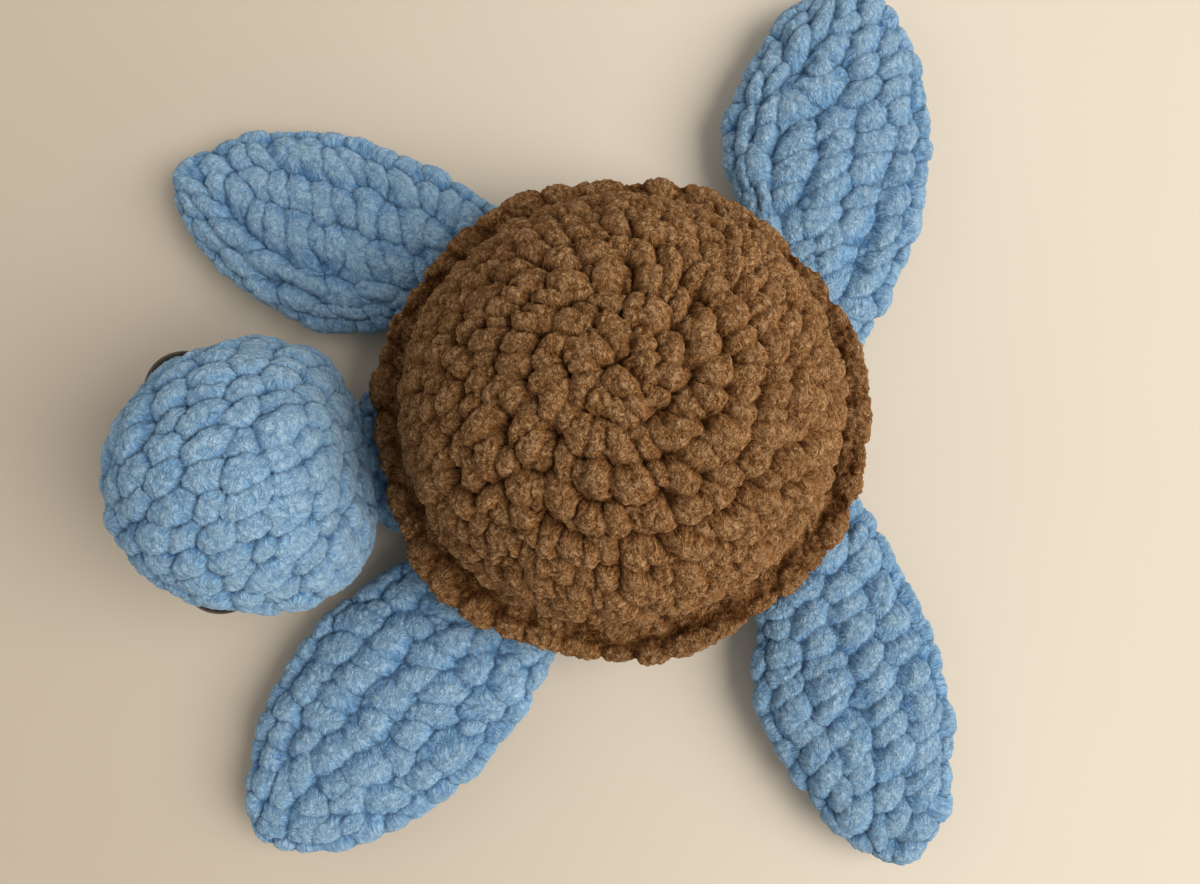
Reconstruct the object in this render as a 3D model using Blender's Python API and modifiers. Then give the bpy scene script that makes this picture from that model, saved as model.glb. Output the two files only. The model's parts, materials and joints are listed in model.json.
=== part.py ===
"""A plush sea turtle: crocheted covers over stuffing, with hinged flippers, neck and head.

The turtle faces -Y, its right side is -X and it rests on the flat of its belly at z = 0.
"""
import math

import bmesh
import bpy
import numpy as np
from mathutils import Matrix, Vector

# Clearances
seat_gap = 0.0003
floor_gap = 0.0003
cut_overrun = 0.002
merge_distance = 0.00001

# Shell
shell_length = 0.1208
shell_width = 0.116
shell_wall = 0.006
shell_rise = 0.059
shell_fullness = 2.15
brim_overhang = 0.0064
brim_inset = 0.0075
brim_thickness = 0.008
brim_fullness = 3.0

# The shell's fat stitches, in one spiral from a crown that sits a little to the right of its middle
stitch_pitch = 0.0083
stitch_round = 0.0080
stitch_relief = 0.0024
stitch_ridge = 0.0044
stitch_slant = math.radians(45)
crown_shift = 0.0038

# Belly
belly_depth = 0.022
belly_flat_cut = 0.0005
belly_tuck = 0.0045
belly_wall = 0.006
belly_fullness = 2.6

# Neck
neck_radius = 0.010
neck_height = 0.0112
neck_reach = 0.0085

# Head
head_width = 0.0686
head_height = 0.0680
head_front_length = 0.0343
head_back_length = 0.0270
head_back_round = 0.0090
head_wall = 0.006
head_press_gap = 0.0020
head_roll = math.radians(6.5)

# Eyes and their washers
eye_diameter = 0.016
eye_dome = 0.004
eye_sink = 0.0015
eye_post_diameter = 0.005
eye_post_length = 0.011
eye_bearing = math.radians(63.5)
eye_lift = math.radians(-3)
washer_diameter = 0.014
washer_thickness = 0.0018
washer_hub_diameter = 0.0076
washer_hub_length = 0.0025
pinched_wall = 0.0048

# Flippers
front_flipper_length = 0.0910
rear_flipper_length = 0.0950
flipper_width = 0.0565
flipper_thickness = 0.018
flipper_root_thickness = 0.011
flipper_wall = 0.005
flipper_slit_height = 0.0016
flipper_seat_share = 0.82
widest_share = 0.42
root_width_share = 0.72
tip_width_power = 0.60
tip_thickness_power = 0.40
settle_share = 0.30
straighten_share = 0.50
filling_start_share = 0.10
slit_width_share = 0.55
tip_inset_share = 1.5

# Where each flipper is sewn on, where it points, both counted from the nose to the right, and its length
flipper_seats = {
    "front_right": (math.radians(54), math.radians(28.5), front_flipper_length),
    "front_left": (math.radians(-46), math.radians(-33), front_flipper_length),
    "rear_right": (math.radians(157), math.radians(112), rear_flipper_length),
    "rear_left": (math.radians(-136), math.radians(-99), rear_flipper_length),
}

# Facets
turn_steps = 36
curve_points = 8
dome_points = 120
shell_edge_steps = 48
brim_points = 10
head_segments = 24
head_rings = 14
neck_segments = 18
neck_rings = 10
eye_steps = 24
flipper_segments = 16
flipper_rings = 13
flipper_root_rings = 3
cutter_sides = 24

# Colours
light_blue = (0.162, 0.279, 0.407)
shell_brown = (0.144, 0.068, 0.024)
filling_white = (0.82, 0.80, 0.76)
eye_black = (0.006, 0.005, 0.005)
washer_white = (0.75, 0.75, 0.72)

# Heights and radii that follow
half_length = shell_length / 2
side_share = shell_width / shell_length
brim_bottom = belly_depth + seat_gap
brim_top = brim_bottom + brim_thickness
brim_middle = (brim_top + brim_bottom) / 2
shell_base = brim_top + seat_gap
brim_radius = half_length + brim_overhang
brim_inner = half_length - brim_inset
belly_radius = half_length - belly_tuck
neck_point = Vector((0, -(belly_radius + neck_reach), neck_height))
head_reach = brim_radius + head_press_gap + head_back_length
head_centre = Vector((0, -head_reach, head_height / 2 + floor_gap))


def clear_scene():
    for thing in list(bpy.data.objects):
        bpy.data.objects.remove(thing, do_unlink=True)


def new_collection(name, shown=True):
    collection = bpy.data.collections.new(name)
    bpy.context.scene.collection.children.link(collection)
    collection.hide_render = not shown
    return collection


def new_material(name, colour, roughness):
    material = bpy.data.materials.new(name)
    material.use_nodes = True
    shader = material.node_tree.nodes["Principled BSDF"]
    shader.inputs["Base Color"].default_value = (*colour, 1)
    shader.inputs["Roughness"].default_value = roughness
    shader.inputs["Metallic"].default_value = 0
    material.diffuse_color = (*colour, 1)
    return material


clear_scene()
turtle = new_collection("plush_turtle")
cutters = new_collection("cutters", shown=False)
looks = {
    "blue": (light_blue, 0.95),
    "brown": (shell_brown, 0.95),
    "filling": (filling_white, 1.0),
    "eye": (eye_black, 0.08),
    "washer": (washer_white, 0.5),
}


def add_piece(name, mesh, look, parent=None):
    piece = bpy.data.objects.new(name, mesh)
    turtle.objects.link(piece)
    piece.data.materials.append(new_material(name, *looks[look]))
    piece.parent = parent
    return piece


def add_cutter(name, mesh, parent=None):
    cutter = bpy.data.objects.new(name, mesh)
    cutters.objects.link(cutter)
    cutter.parent = parent
    cutter.display_type = "WIRE"
    cutter.hide_render = True
    return cutter


def add_joint(name, place, turn=0.0, parent=None):
    joint = bpy.data.objects.new(name, None)
    turtle.objects.link(joint)
    joint.parent = parent
    joint.location = place
    joint.rotation_euler = (0, 0, turn)
    joint.empty_display_size = neck_radius
    return joint


def cut_away(piece, cutter):
    cut = piece.modifiers.new(cutter.name, "BOOLEAN")
    cut.operation = "DIFFERENCE"
    cut.solver = "EXACT"
    cut.object = cutter


def turned(mesh_name, profile, closed=False):
    """A profile of (radius, height) points as a mesh of edges, ready for a Screw modifier."""
    mesh = bpy.data.meshes.new(mesh_name)
    outline = bmesh.new()
    points = [outline.verts.new((radius, 0, height)) for radius, height in profile]
    for first, second in zip(points, points[1:]):
        outline.edges.new((first, second))
    if closed:
        outline.edges.new((points[-1], points[0]))
    outline.to_mesh(mesh)
    outline.free()
    return mesh


def spin(piece, steps):
    screw = piece.modifiers.new("turn", "SCREW")
    screw.axis = "Z"
    screw.steps = steps
    screw.render_steps = steps
    screw.use_merge_vertices = True
    screw.merge_threshold = merge_distance
    screw.use_normal_calculate = False


def moulded(mesh_name, segments, rings, place):
    """A unit ball whose points a function moves to the shape of a stuffed form."""
    mesh = bpy.data.meshes.new(mesh_name)
    form = bmesh.new()
    bmesh.ops.create_uvsphere(form, u_segments=segments, v_segments=rings, radius=1)
    for point in form.verts:
        point.co = place(point.co.copy())
    form.to_mesh(mesh)
    form.free()
    return mesh


def rod(mesh_name, radius, low, high):
    """A cylinder along Z from one height to another."""
    mesh = bpy.data.meshes.new(mesh_name)
    form = bmesh.new()
    middle = Matrix.Translation((0, 0, (low + high) / 2))
    bmesh.ops.create_cone(
        form,
        cap_ends=True,
        segments=cutter_sides,
        radius1=radius,
        radius2=radius,
        depth=high - low,
        matrix=middle,
    )
    form.to_mesh(mesh)
    form.free()
    return mesh


def bulge(radius, rise, fullness, points):
    """A swelling quarter outline, from the pole (0, rise) to the edge (radius, 0)."""
    outline = []
    for step in range(points + 1):
        angle = math.pi / 2 * step / points
        across = radius * math.sin(angle) ** (2 / fullness)
        up = rise * max(math.cos(angle), 0) ** (2 / fullness)
        outline.append((across if step else 0, up if step < points else 0))
    return outline


def oval(piece):
    """The shell is a little longer than wide, and so is all that lines up with it."""
    piece.scale = (side_share, 1, 1)


def shell_outline(inset, points=curve_points):
    return [
        (radius, shell_base + height)
        for radius, height in bulge(half_length - inset, shell_rise - inset, shell_fullness, points)
    ]


def dome(inset):
    """The dome's skin under a direction from its middle, and its way from crown to base."""
    outline = np.array(shell_outline(inset, dome_points))
    ways = np.append(0, np.cumsum(np.linalg.norm(np.diff(outline, axis=0), axis=1)))

    def place(direction):
        down = ways[-1] * min(direction.angle(Vector((0, 0, 1))) / (math.pi / 2), 1)
        radius, height = (float(np.interp(down, ways, line)) for line in outline.T)
        flat = Vector((direction.x, direction.y)).normalized()
        return Vector((flat.x * radius, flat.y * radius, height))

    return place, ways[-1]


def stitch_directions():
    """Directions to the raised ends of every stitch and to the creases round it, from the shell's middle."""
    skin, way = dome(0)
    rise = way / round(way / stitch_round)
    raised, creases = [Vector((0, 0, 1))], []

    def toward(around, down):
        turn = math.pi / 2 * down / way
        flat = Vector((math.cos(around), math.sin(around), 0))
        level = flat * math.sin(turn) + Vector((0, 0, math.cos(turn)))
        shifted = level - Vector((crown_shift / shell_rise * level.z, 0, 0))
        return shifted.normalized()

    # the first round winds out half a row, and each later one a whole row
    around, down = 0, rise / 2
    while down < way - rise / 2:
        turn = math.pi / 2 * down / way
        radius = skin(Vector((math.sin(turn), 0, math.cos(turn)))).x * (1 + side_share) / 2
        step = stitch_pitch / max(radius, stitch_pitch)
        for end in (-stitch_ridge / 2, stitch_ridge / 2):
            aside = end * math.sin(stitch_slant) / max(radius, stitch_pitch)
            raised.append(toward(around + aside, down + end * math.cos(stitch_slant)))
        creases.append(toward(around + step / 2, down))
        if down + rise < way:
            creases.append(toward(around, down + rise / 2))
            creases.append(toward(around + step / 2, down + rise / 2))
        around += step
        wound = around / (2 * math.pi)
        down = rise / 2 * (1 + wound) if wound < 1 else rise * wound
    return raised, creases


def stitched_dome(mesh_name):
    """A closed dome: one facet net over all the directions, with the creases let in by the relief."""
    raised, creases = stitch_directions()
    edge = [2 * math.pi * step / shell_edge_steps for step in range(shell_edge_steps)]
    creases += [Vector((math.cos(angle), math.sin(angle), 0)) for angle in edge]
    net = bmesh.new()
    skins = {}
    for skin, directions in ((dome(0)[0], raised), (dome(stitch_relief)[0], creases)):
        for direction in directions:
            skins[net.verts.new(direction)] = skin
    under = net.verts.new((0, 0, -1))
    bmesh.ops.convex_hull(net, input=net.verts)
    for point, skin in skins.items():
        point.co = skin(point.co)
    under.co = (0, 0, shell_base)
    bmesh.ops.recalc_face_normals(net, faces=net.faces)
    mesh = bpy.data.meshes.new(mesh_name)
    net.to_mesh(mesh)
    net.free()
    return mesh


def belly_outline(inset):
    """From the edge under the brim down to the flat that the turtle rests on."""
    full_depth = belly_depth + belly_flat_cut
    down = bulge(belly_radius - inset, full_depth - inset, belly_fullness, curve_points)
    lowest = inset
    outline = [(radius, belly_depth - height) for radius, height in reversed(down)]
    kept = [point for point in outline if point[1] > lowest + merge_distance]
    depth_share = (belly_depth - lowest) / (full_depth - inset)
    flat_radius = (belly_radius - inset) * (1 - depth_share**belly_fullness) ** (1 / belly_fullness)
    return kept + [(flat_radius, lowest), (0, lowest)]


def make_shell():
    shell = add_piece("shell_cover", stitched_dome("shell_cover"), "brown")
    oval(shell)
    inner = shell_outline(shell_wall)
    inner += [(inner[-1][0], shell_base - cut_overrun), (0, shell_base - cut_overrun)]
    hollow = add_cutter("shell_hollow", turned("shell_hollow", inner))
    spin(hollow, turn_steps)
    oval(hollow)
    cut_away(shell, hollow)

    half_across = (brim_radius - brim_inner) / 2
    middle = (brim_radius + brim_inner) / 2
    ring = []
    for step in range(brim_points):
        angle = math.pi / 2 - 2 * math.pi * step / brim_points
        side, up = math.cos(angle), math.sin(angle)
        across = math.copysign(abs(side) ** (2 / brim_fullness), side)
        high = math.copysign(abs(up) ** (2 / brim_fullness), up)
        ring.append((middle + half_across * across, brim_middle + brim_thickness / 2 * high))
    brim = add_piece("shell_brim", turned("shell_brim", ring, closed=True), "brown")
    spin(brim, turn_steps)
    oval(brim)


def make_belly(neck_seat):
    cover = belly_outline(belly_wall)[::-1] + belly_outline(0)
    belly = add_piece("belly_cover", turned("belly_cover", cover), "blue")
    spin(belly, turn_steps)
    oval(belly)
    cut_away(belly, neck_seat)


def make_body_stuffing():
    narrow = brim_inner - seat_gap
    upper = [
        (min(radius, narrow), height) for radius, height in shell_outline(shell_wall + seat_gap)
    ]
    lower = [
        (min(radius, narrow), height) for radius, height in belly_outline(belly_wall + seat_gap)
    ]
    outline = upper + lower
    stuffing = add_piece("body_stuffing", turned("body_stuffing", outline), "filling")
    spin(stuffing, turn_steps)
    oval(stuffing)


def ball(radius):
    return lambda unit: unit * radius


def head_form(inset):
    """An oval ball whose back is pressed flatter where it meets the brim."""
    half_width = head_width / 2 - inset
    half_height = head_height / 2 - inset
    front = head_front_length - inset
    back = head_back_length - inset
    turn_in = head_back_round - inset

    def place(unit):
        along = unit.y * front
        if along > turn_in:
            share = (along - turn_in) / (front - turn_in)
            along = turn_in + (back - turn_in) * math.sin(share * math.pi / 2)
        return Vector((unit.x * half_width, along, unit.z * half_height))

    return place


def eye_turn(side):
    """The turn that points +Z outward at an eye; side is -1 on the right and 1 on the left."""
    outward = Vector(
        (
            side * math.sin(eye_bearing) * math.cos(eye_lift),
            -math.cos(eye_bearing) * math.cos(eye_lift),
            math.sin(eye_lift),
        )
    )
    reach = 1 / math.sqrt(
        (outward.x / (head_width / 2)) ** 2
        + (outward.y / head_front_length) ** 2
        + (outward.z / (head_height / 2)) ** 2
    )
    return outward.to_track_quat("Z", "Y"), outward * (reach - eye_sink)


def eye_profile():
    radius = eye_diameter / 2
    curve = (radius**2 + eye_dome**2) / (2 * eye_dome)
    spread = math.asin(radius / curve)
    cap = []
    for step in range(curve_points + 1):
        angle = spread * step / curve_points
        cap.append((curve * math.sin(angle), curve * math.cos(angle) - (curve - eye_dome)))
    post = eye_post_diameter / 2
    return cap + [(post, 0), (post, -eye_post_length), (0, -eye_post_length)]


def washer_profile():
    """A flat ring with a hub that grips the post, below the pinched wall of the cover."""
    bore = eye_post_diameter / 2 + seat_gap
    top = -(pinched_wall + 2 * seat_gap)
    low = top - washer_thickness
    hub = washer_hub_diameter / 2
    return [
        (bore, top),
        (washer_diameter / 2, top),
        (washer_diameter / 2, low),
        (hub, low),
        (hub, low - washer_hub_length),
        (bore, low - washer_hub_length),
    ]


def make_eye(side_name, side, cover, stuffing):
    turn, place = eye_turn(side)
    washer_top = -(pinched_wall + 2 * seat_gap)
    hub_low = washer_top - washer_thickness - washer_hub_length
    tools = {
        "recess": (eye_diameter / 2 + seat_gap, -seat_gap, eye_dome + cut_overrun, (cover,)),
        "post_hole": (
            eye_post_diameter / 2 + seat_gap,
            -eye_post_length - seat_gap,
            cut_overrun,
            (cover, stuffing),
        ),
        "washer_seat": (
            washer_diameter / 2 + seat_gap,
            washer_top - washer_thickness - seat_gap,
            washer_top + seat_gap,
            (cover,),
        ),
        "washer_pocket": (
            washer_diameter / 2 + seat_gap,
            washer_top - washer_thickness - seat_gap,
            cut_overrun,
            (stuffing,),
        ),
        "hub_pocket": (
            washer_hub_diameter / 2 + seat_gap,
            hub_low - seat_gap,
            washer_top,
            (stuffing,),
        ),
    }
    for tool, (radius, low, high, cut_pieces) in tools.items():
        name = side_name + "_eye_" + tool
        cutter = add_cutter(name, rod(name, radius, low, high), cover)
        cutter.location = place
        cutter.rotation_mode = "QUATERNION"
        cutter.rotation_quaternion = turn
        for piece in cut_pieces:
            cut_away(piece, cutter)
    profiles = {"_eye": (eye_profile(), "eye", False), "_eye_washer": (washer_profile(), "washer", True)}
    for ending, (profile, look, closed) in profiles.items():
        name = side_name + ending
        piece = add_piece(name, turned(name, profile, closed), look, cover)
        piece.location = place
        piece.rotation_mode = "QUATERNION"
        piece.rotation_quaternion = turn
        spin(piece, eye_steps)


def make_head(head_joint, neck_seat):
    facets = (head_segments, head_rings)
    cover = add_piece("head_cover", moulded("head_cover", *facets, head_form(0)), "blue", head_joint)
    cover.location = head_centre - neck_point
    cover.rotation_euler = (0, head_roll, 0)
    hollow = add_cutter("head_hollow", moulded("head_hollow", *facets, head_form(head_wall)), cover)
    filling = moulded("head_stuffing", *facets, head_form(head_wall + seat_gap))
    stuffing = add_piece("head_stuffing", filling, "filling", cover)
    cut_away(cover, hollow)
    cut_away(cover, neck_seat)
    cut_away(stuffing, neck_seat)
    make_eye("right", -1, cover, stuffing)
    make_eye("left", 1, cover, stuffing)


def make_neck_and_head():
    swing = add_joint("neck_swing", neck_point)
    nod = add_joint("head_nod", (0, 0, 0), parent=swing)
    add_piece("neck", moulded("neck", neck_segments, neck_rings, ball(neck_radius)), "blue", swing)
    seat = moulded("neck_seat", neck_segments, neck_rings, ball(neck_radius + seat_gap))
    neck_seat = add_cutter("neck_seat", seat, swing)
    make_head(nod, neck_seat)
    return neck_seat


def belly_seat(bearing):
    """The point of the belly's side that a flipper's root lies on, and its outward direction."""
    angle = math.pi / 2 * flipper_seat_share
    power = 2 / belly_fullness
    full_depth = belly_depth + belly_flat_cut
    out_share = math.sin(angle) ** power
    down_share = math.cos(angle) ** power
    outward = out_share ** (belly_fullness - 1) / belly_radius
    downward = down_share ** (belly_fullness - 1) / full_depth
    ahead = Vector((-math.sin(bearing) / side_share, -math.cos(bearing), 0)).normalized()
    normal = (ahead * outward - Vector((0, 0, 1)) * downward).normalized()
    radius = belly_radius * out_share
    place = Vector(
        (
            -side_share * radius * math.sin(bearing),
            -radius * math.cos(bearing),
            belly_depth - full_depth * down_share,
        )
    )
    return place, normal, ahead


def flipper_form(full_length, lean, hinge_height, inset, start_share):
    """A leaf that swells from a rounded root, lies down on the floor and tapers to its tip."""
    length = full_length - tip_inset_share * inset
    half_width = flipper_width / 2 - inset
    half_thick = flipper_thickness / 2 - inset
    root_thick_share = flipper_root_thickness / flipper_thickness
    sink = hinge_height - floor_gap - flipper_thickness / 2
    root_share = flipper_root_rings / flipper_rings

    def swell(share, root_share_of_full, tip_power):
        if share < widest_share:
            return 1 - (1 - root_share_of_full) * ((widest_share - share) / widest_share) ** 2
        return max(1 - ((share - widest_share) / (1 - widest_share)) ** 2, 0) ** tip_power

    def place(unit):
        turn_share = math.acos(max(-1, min(1, -unit.z))) / math.pi
        around = math.atan2(unit.y, unit.x)
        nose = half_thick * swell(start_share, root_thick_share, tip_thickness_power)
        if turn_share < root_share:
            roll = math.pi / 2 * turn_share / root_share
            share = start_share
            back = nose * math.cos(roll)
            wide = half_width * swell(share, root_width_share, tip_width_power) - nose * (1 - math.sin(roll))
            thick = nose * math.sin(roll)
        else:
            ease = math.sin(math.pi / 2 * (turn_share - root_share) / (1 - root_share))
            share = start_share + (1 - start_share) * ease
            back = 0
            wide = half_width * swell(share, root_width_share, tip_width_power)
            thick = half_thick * swell(share, root_thick_share, tip_thickness_power)
        if unit.z <= -1 + merge_distance or unit.z >= 1 - merge_distance:
            wide = thick = 0
        settled = min(share / settle_share, 1) ** 2
        straight = lean * min(share / straighten_share, 1)
        reach = length * share
        middle = Vector((reach * math.cos(lean) - back, reach * math.sin(lean), -sink * settled))
        across = Vector((-math.sin(straight), math.cos(straight), 0))
        return middle + across * wide * math.cos(around) + Vector((0, 0, thick * math.sin(around)))

    return place


def make_flipper(corner, seat_bearing, pointing, length):
    place, normal, ahead = belly_seat(seat_bearing)
    hinge = place + normal * (flipper_root_thickness / 2 + seat_gap)
    joint = add_joint(corner + "_flap", hinge, math.atan2(ahead.y, ahead.x))
    lean = seat_bearing - pointing
    facets = (flipper_segments, flipper_rings)
    name = corner + "_flipper"
    cover_form = flipper_form(length, lean, hinge.z, 0, 0)
    cover = add_piece(name, moulded(name, *facets, cover_form), "blue", joint)
    hollow_form = flipper_form(length, lean, hinge.z, flipper_wall, filling_start_share)
    hollow = add_cutter(name + "_hollow", moulded(name + "_hollow", *facets, hollow_form), joint)
    wad_form = flipper_form(length, lean, hinge.z, flipper_wall + seat_gap, filling_start_share)
    wad = name + "_wad"
    add_piece(wad, moulded(wad, *facets, wad_form), "filling", joint)
    slit_mesh = bpy.data.meshes.new(name + "_slit")
    form = bmesh.new()
    slit_reach = length * filling_start_share + flipper_root_thickness / 2
    slit_size = (slit_reach, flipper_width * slit_width_share, flipper_slit_height)
    slit_middle = slit_reach / 2 - flipper_root_thickness / 2 - cut_overrun
    slit_matrix = Matrix.Translation((slit_middle, 0, 0)) @ Matrix.Diagonal((*slit_size, 1))
    bmesh.ops.create_cube(form, size=1, matrix=slit_matrix)
    form.to_mesh(slit_mesh)
    form.free()
    slit = add_cutter(name + "_slit", slit_mesh, joint)
    cut_away(cover, hollow)
    cut_away(cover, slit)


make_shell()
make_body_stuffing()
make_belly(make_neck_and_head())
for corner, (seat_bearing, pointing, length) in flipper_seats.items():
    make_flipper(corner, seat_bearing, pointing, length)
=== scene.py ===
import json
import math

import bpy
import numpy as np
from mathutils import Matrix, Vector, noise


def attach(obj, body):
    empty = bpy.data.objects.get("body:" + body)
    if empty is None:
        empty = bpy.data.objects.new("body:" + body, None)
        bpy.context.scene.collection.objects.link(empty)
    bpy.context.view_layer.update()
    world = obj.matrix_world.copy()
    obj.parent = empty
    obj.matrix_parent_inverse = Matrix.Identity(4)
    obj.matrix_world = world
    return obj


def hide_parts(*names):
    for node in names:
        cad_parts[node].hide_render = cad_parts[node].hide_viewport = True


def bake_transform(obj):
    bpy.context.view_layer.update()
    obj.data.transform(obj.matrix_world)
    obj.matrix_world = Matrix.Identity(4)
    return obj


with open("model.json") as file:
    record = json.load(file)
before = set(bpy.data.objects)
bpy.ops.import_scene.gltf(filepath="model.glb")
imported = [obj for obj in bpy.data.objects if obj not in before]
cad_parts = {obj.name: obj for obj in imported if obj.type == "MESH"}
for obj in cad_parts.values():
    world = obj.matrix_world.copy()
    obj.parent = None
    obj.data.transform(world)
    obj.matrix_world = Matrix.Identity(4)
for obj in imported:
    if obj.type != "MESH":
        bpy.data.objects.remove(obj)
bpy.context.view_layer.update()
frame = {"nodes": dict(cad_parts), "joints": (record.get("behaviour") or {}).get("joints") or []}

noise.seed_set(2)  # so the stitches waver alike on every run
print("turtle: packed frame loaded")


# Small tools

def deselectAll():
    for thing in bpy.context.selected_objects:
        thing.select_set(False)


def pickOnly(piece):
    deselectAll()
    piece.select_set(True)
    bpy.context.view_layer.objects.active = piece


def applyModifiers(piece):
    pickOnly(piece)
    for modifier in list(piece.modifiers):
        bpy.ops.object.modifier_apply(modifier=modifier.name)


def pointsOf(piece):
    flat = np.empty(len(piece.data.vertices) * 3, np.float32)
    piece.data.vertices.foreach_get("co", flat)
    return flat.reshape(-1, 3).astype(float)


def normalsOf(piece):
    flat = np.empty(len(piece.data.vertices) * 3, np.float32)
    piece.data.vertex_normals.foreach_get("vector", flat)
    return flat.reshape(-1, 3).astype(float)


def movePoints(piece, points):
    piece.data.vertices.foreach_set("co", points.astype(np.float32).ravel())
    piece.data.update()


def unitRows(vectors):
    return vectors / np.maximum(np.linalg.norm(vectors, axis=-1, keepdims=True), 1e-12)


def linear(hexText):
    # sRGB hex to the linear values the shader wants
    parts = [int(hexText[at:at + 2], 16) / 255 for at in (1, 3, 5)]
    return (*[p / 12.92 if p <= 0.04045 else ((p + 0.055) / 1.055) ** 2.4 for p in parts], 1)


def feed(tree, node, inputs):
    # an input takes a plain value, another node's first output, or a socket
    for socket, source in inputs.items():
        if isinstance(source, bpy.types.Node):
            source = source.outputs[0]
        if isinstance(source, bpy.types.NodeSocket):
            tree.links.new(source, node.inputs[socket])
        else:
            node.inputs[socket].default_value = source


def addNode(tree, kind, inputs, **settings):
    node = tree.nodes.new("ShaderNode" + kind)
    for name, value in settings.items():
        setattr(node, name, value)
    feed(tree, node, inputs)
    return node


# Camera, held over the shell and turned a little, as the photograph was taken

camera = dict(place=(0.0253, -0.0065, 0.2763), lens=28.8, roll=-10.0, pitch=4.18, yaw=0.81)

cameraData = bpy.data.cameras.new("overheadCamera")
cameraData.lens = camera["lens"]
cameraData.sensor_width = 36
cameraData.clip_start = 0.01
overheadCamera = bpy.data.objects.new("overheadCamera", cameraData)
bpy.context.scene.collection.objects.link(overheadCamera)
headLeft = Matrix(((0, 1, 0), (-1, 0, 0), (0, 0, 1)))
roll = Matrix.Rotation(math.radians(-camera["roll"]), 3, "Z")
pitch = Matrix.Rotation(math.radians(-camera["pitch"]), 3, "X")
yaw = Matrix.Rotation(math.radians(-camera["yaw"]), 3, "Y")
facing = (pitch @ yaw @ roll @ headLeft).transposed()
overheadCamera.matrix_world = Matrix.Translation(camera["place"]) @ facing.to_4x4()
bpy.context.scene.camera = overheadCamera


# Materials

def newMaterial(name):
    # with its node tree, its shader, and a socket that gives places on the piece itself
    material = bpy.data.materials.new(name)
    material.use_nodes = True
    tree = material.node_tree
    own = addNode(tree, "TexCoord", {}).outputs["Object"]
    return material, tree, tree.nodes["Principled BSDF"], own


def addRamp(tree, factor, *colours):
    # hex colours spread evenly over the ramp
    ramp = addNode(tree, "ValToRGB", {"Fac": factor})
    stops = ramp.color_ramp.elements
    for between in range(1, len(colours) - 1):
        stops.new(between / (len(colours) - 1))
    for stop, colour in zip(stops, colours):
        stop.color = linear(colour)
    return ramp


def strandsOf(tree, source, turns):
    # fine strands of pile, raised in the bump and with painted shade in the gaps between them, where soft
    # noise rises and falls
    steps = addNode(tree, "Math", {0: source, 1: turns}, operation="MULTIPLY")
    strands = addNode(tree, "Math", {0: steps, 1: 0.5}, operation="PINGPONG")
    return addNode(tree, "Math", {0: strands, 1: 2.0}, operation="MULTIPLY")


def chenille(name, colours, look):
    # crocheted chenille: polyester pile on a thin core, matt; its colour runs from painted shade deep in the
    # creases to a painted highlight on the crests
    material, tree, shader, own = newMaterial(name)
    paintedShade = addNode(tree, "Attribute", {}, attribute_name="paintedShade")
    strand = addNode(tree, "Attribute", {}, attribute_name="strand")
    yarn = addNode(tree, "UVMap", {}, uv_map="yarn")
    # fibres fan out from the yarn's core, so each stitch has fine strokes square to its outline
    fine = (1 / look["stroke"], 1 / look["strokeLength"], 1)
    across = addNode(tree, "Mapping", {"Vector": yarn, "Scale": fine})
    fanning = addNode(tree, "TexNoise", {"Vector": across, "Scale": 1.0, "Detail": 2.0, "Roughness": 0.45,
                                         "Distortion": 0.5})
    strokes = strandsOf(tree, fanning, look["turns"])
    # curls where the pile has matted, about a millimetre across
    matting = addNode(tree, "TexNoise", {"Vector": own, "Scale": 1 / look["curl"], "Detail": 3.0,
                                         "Roughness": 0.5, "Distortion": 1.0})
    curls = strandsOf(tree, matting, look["turns"])
    # the strokes show at a stitch's edge, the curls on its crown
    outwards = addNode(tree, "SeparateXYZ", {0: yarn})
    fromCore = addNode(tree, "Math", {0: outwards.outputs["Y"]}, operation="ABSOLUTE")
    crown = addNode(tree, "MapRange",
                    {"Value": fromCore, "From Min": look["crown"], "From Max": look["crown"] * 2.6,
                     "To Min": min(1, look["matted"] + 0.35), "To Max": look["matted"] - 0.15},
                    interpolation_type="SMOOTHSTEP")
    grain = addNode(tree, "Mix", {"Factor": crown, "A": strokes, "B": curls}, data_type="FLOAT")
    # the grain and each point's painted shade pick the colour: the ramp's deep end is painted shade, its pale
    # end a painted highlight
    contrast = {"To Min": -look["contrast"], "To Max": look["contrast"]}
    spread = addNode(tree, "MapRange", {"Value": grain, **contrast}, clamp=False)
    shifted = addNode(tree, "Math", {0: spread, 1: paintedShade.outputs["Fac"]}, operation="ADD")
    depth = addRamp(tree, shifted, colours["root"], colours["body"], colours["tip"])
    # dye and light wear over patches of about 25 mm, and each stitch a little different
    patches = addNode(tree, "TexNoise", {"Vector": own, "Scale": 40.0, "Detail": 2.0})
    tone = addNode(tree, "Math", {0: strand.outputs["Fac"], 1: 0.5, 2: patches}, operation="MULTIPLY_ADD")
    value = addNode(tree, "MapRange", {"Value": tone, "From Min": 0.3, "From Max": 1.2,
                                       "To Min": 1 - look["patchiness"], "To Max": 1 + look["patchiness"]})
    colour = addNode(tree, "HueSaturation", {"Color": depth, "Value": value})
    bumps = addNode(tree, "Bump", {"Height": grain, "Strength": 1.0, "Distance": look["bump"]})
    feed(tree, shader, {"Base Color": colour, "Normal": bumps, "Roughness": 0.95, "IOR": 1.46,
                        "Specular IOR Level": 0.1, "Sheen Weight": look["sheen"], "Sheen Roughness": 0.45,
                        "Sheen Tint": linear(colours["sheen"])})
    return material


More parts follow.
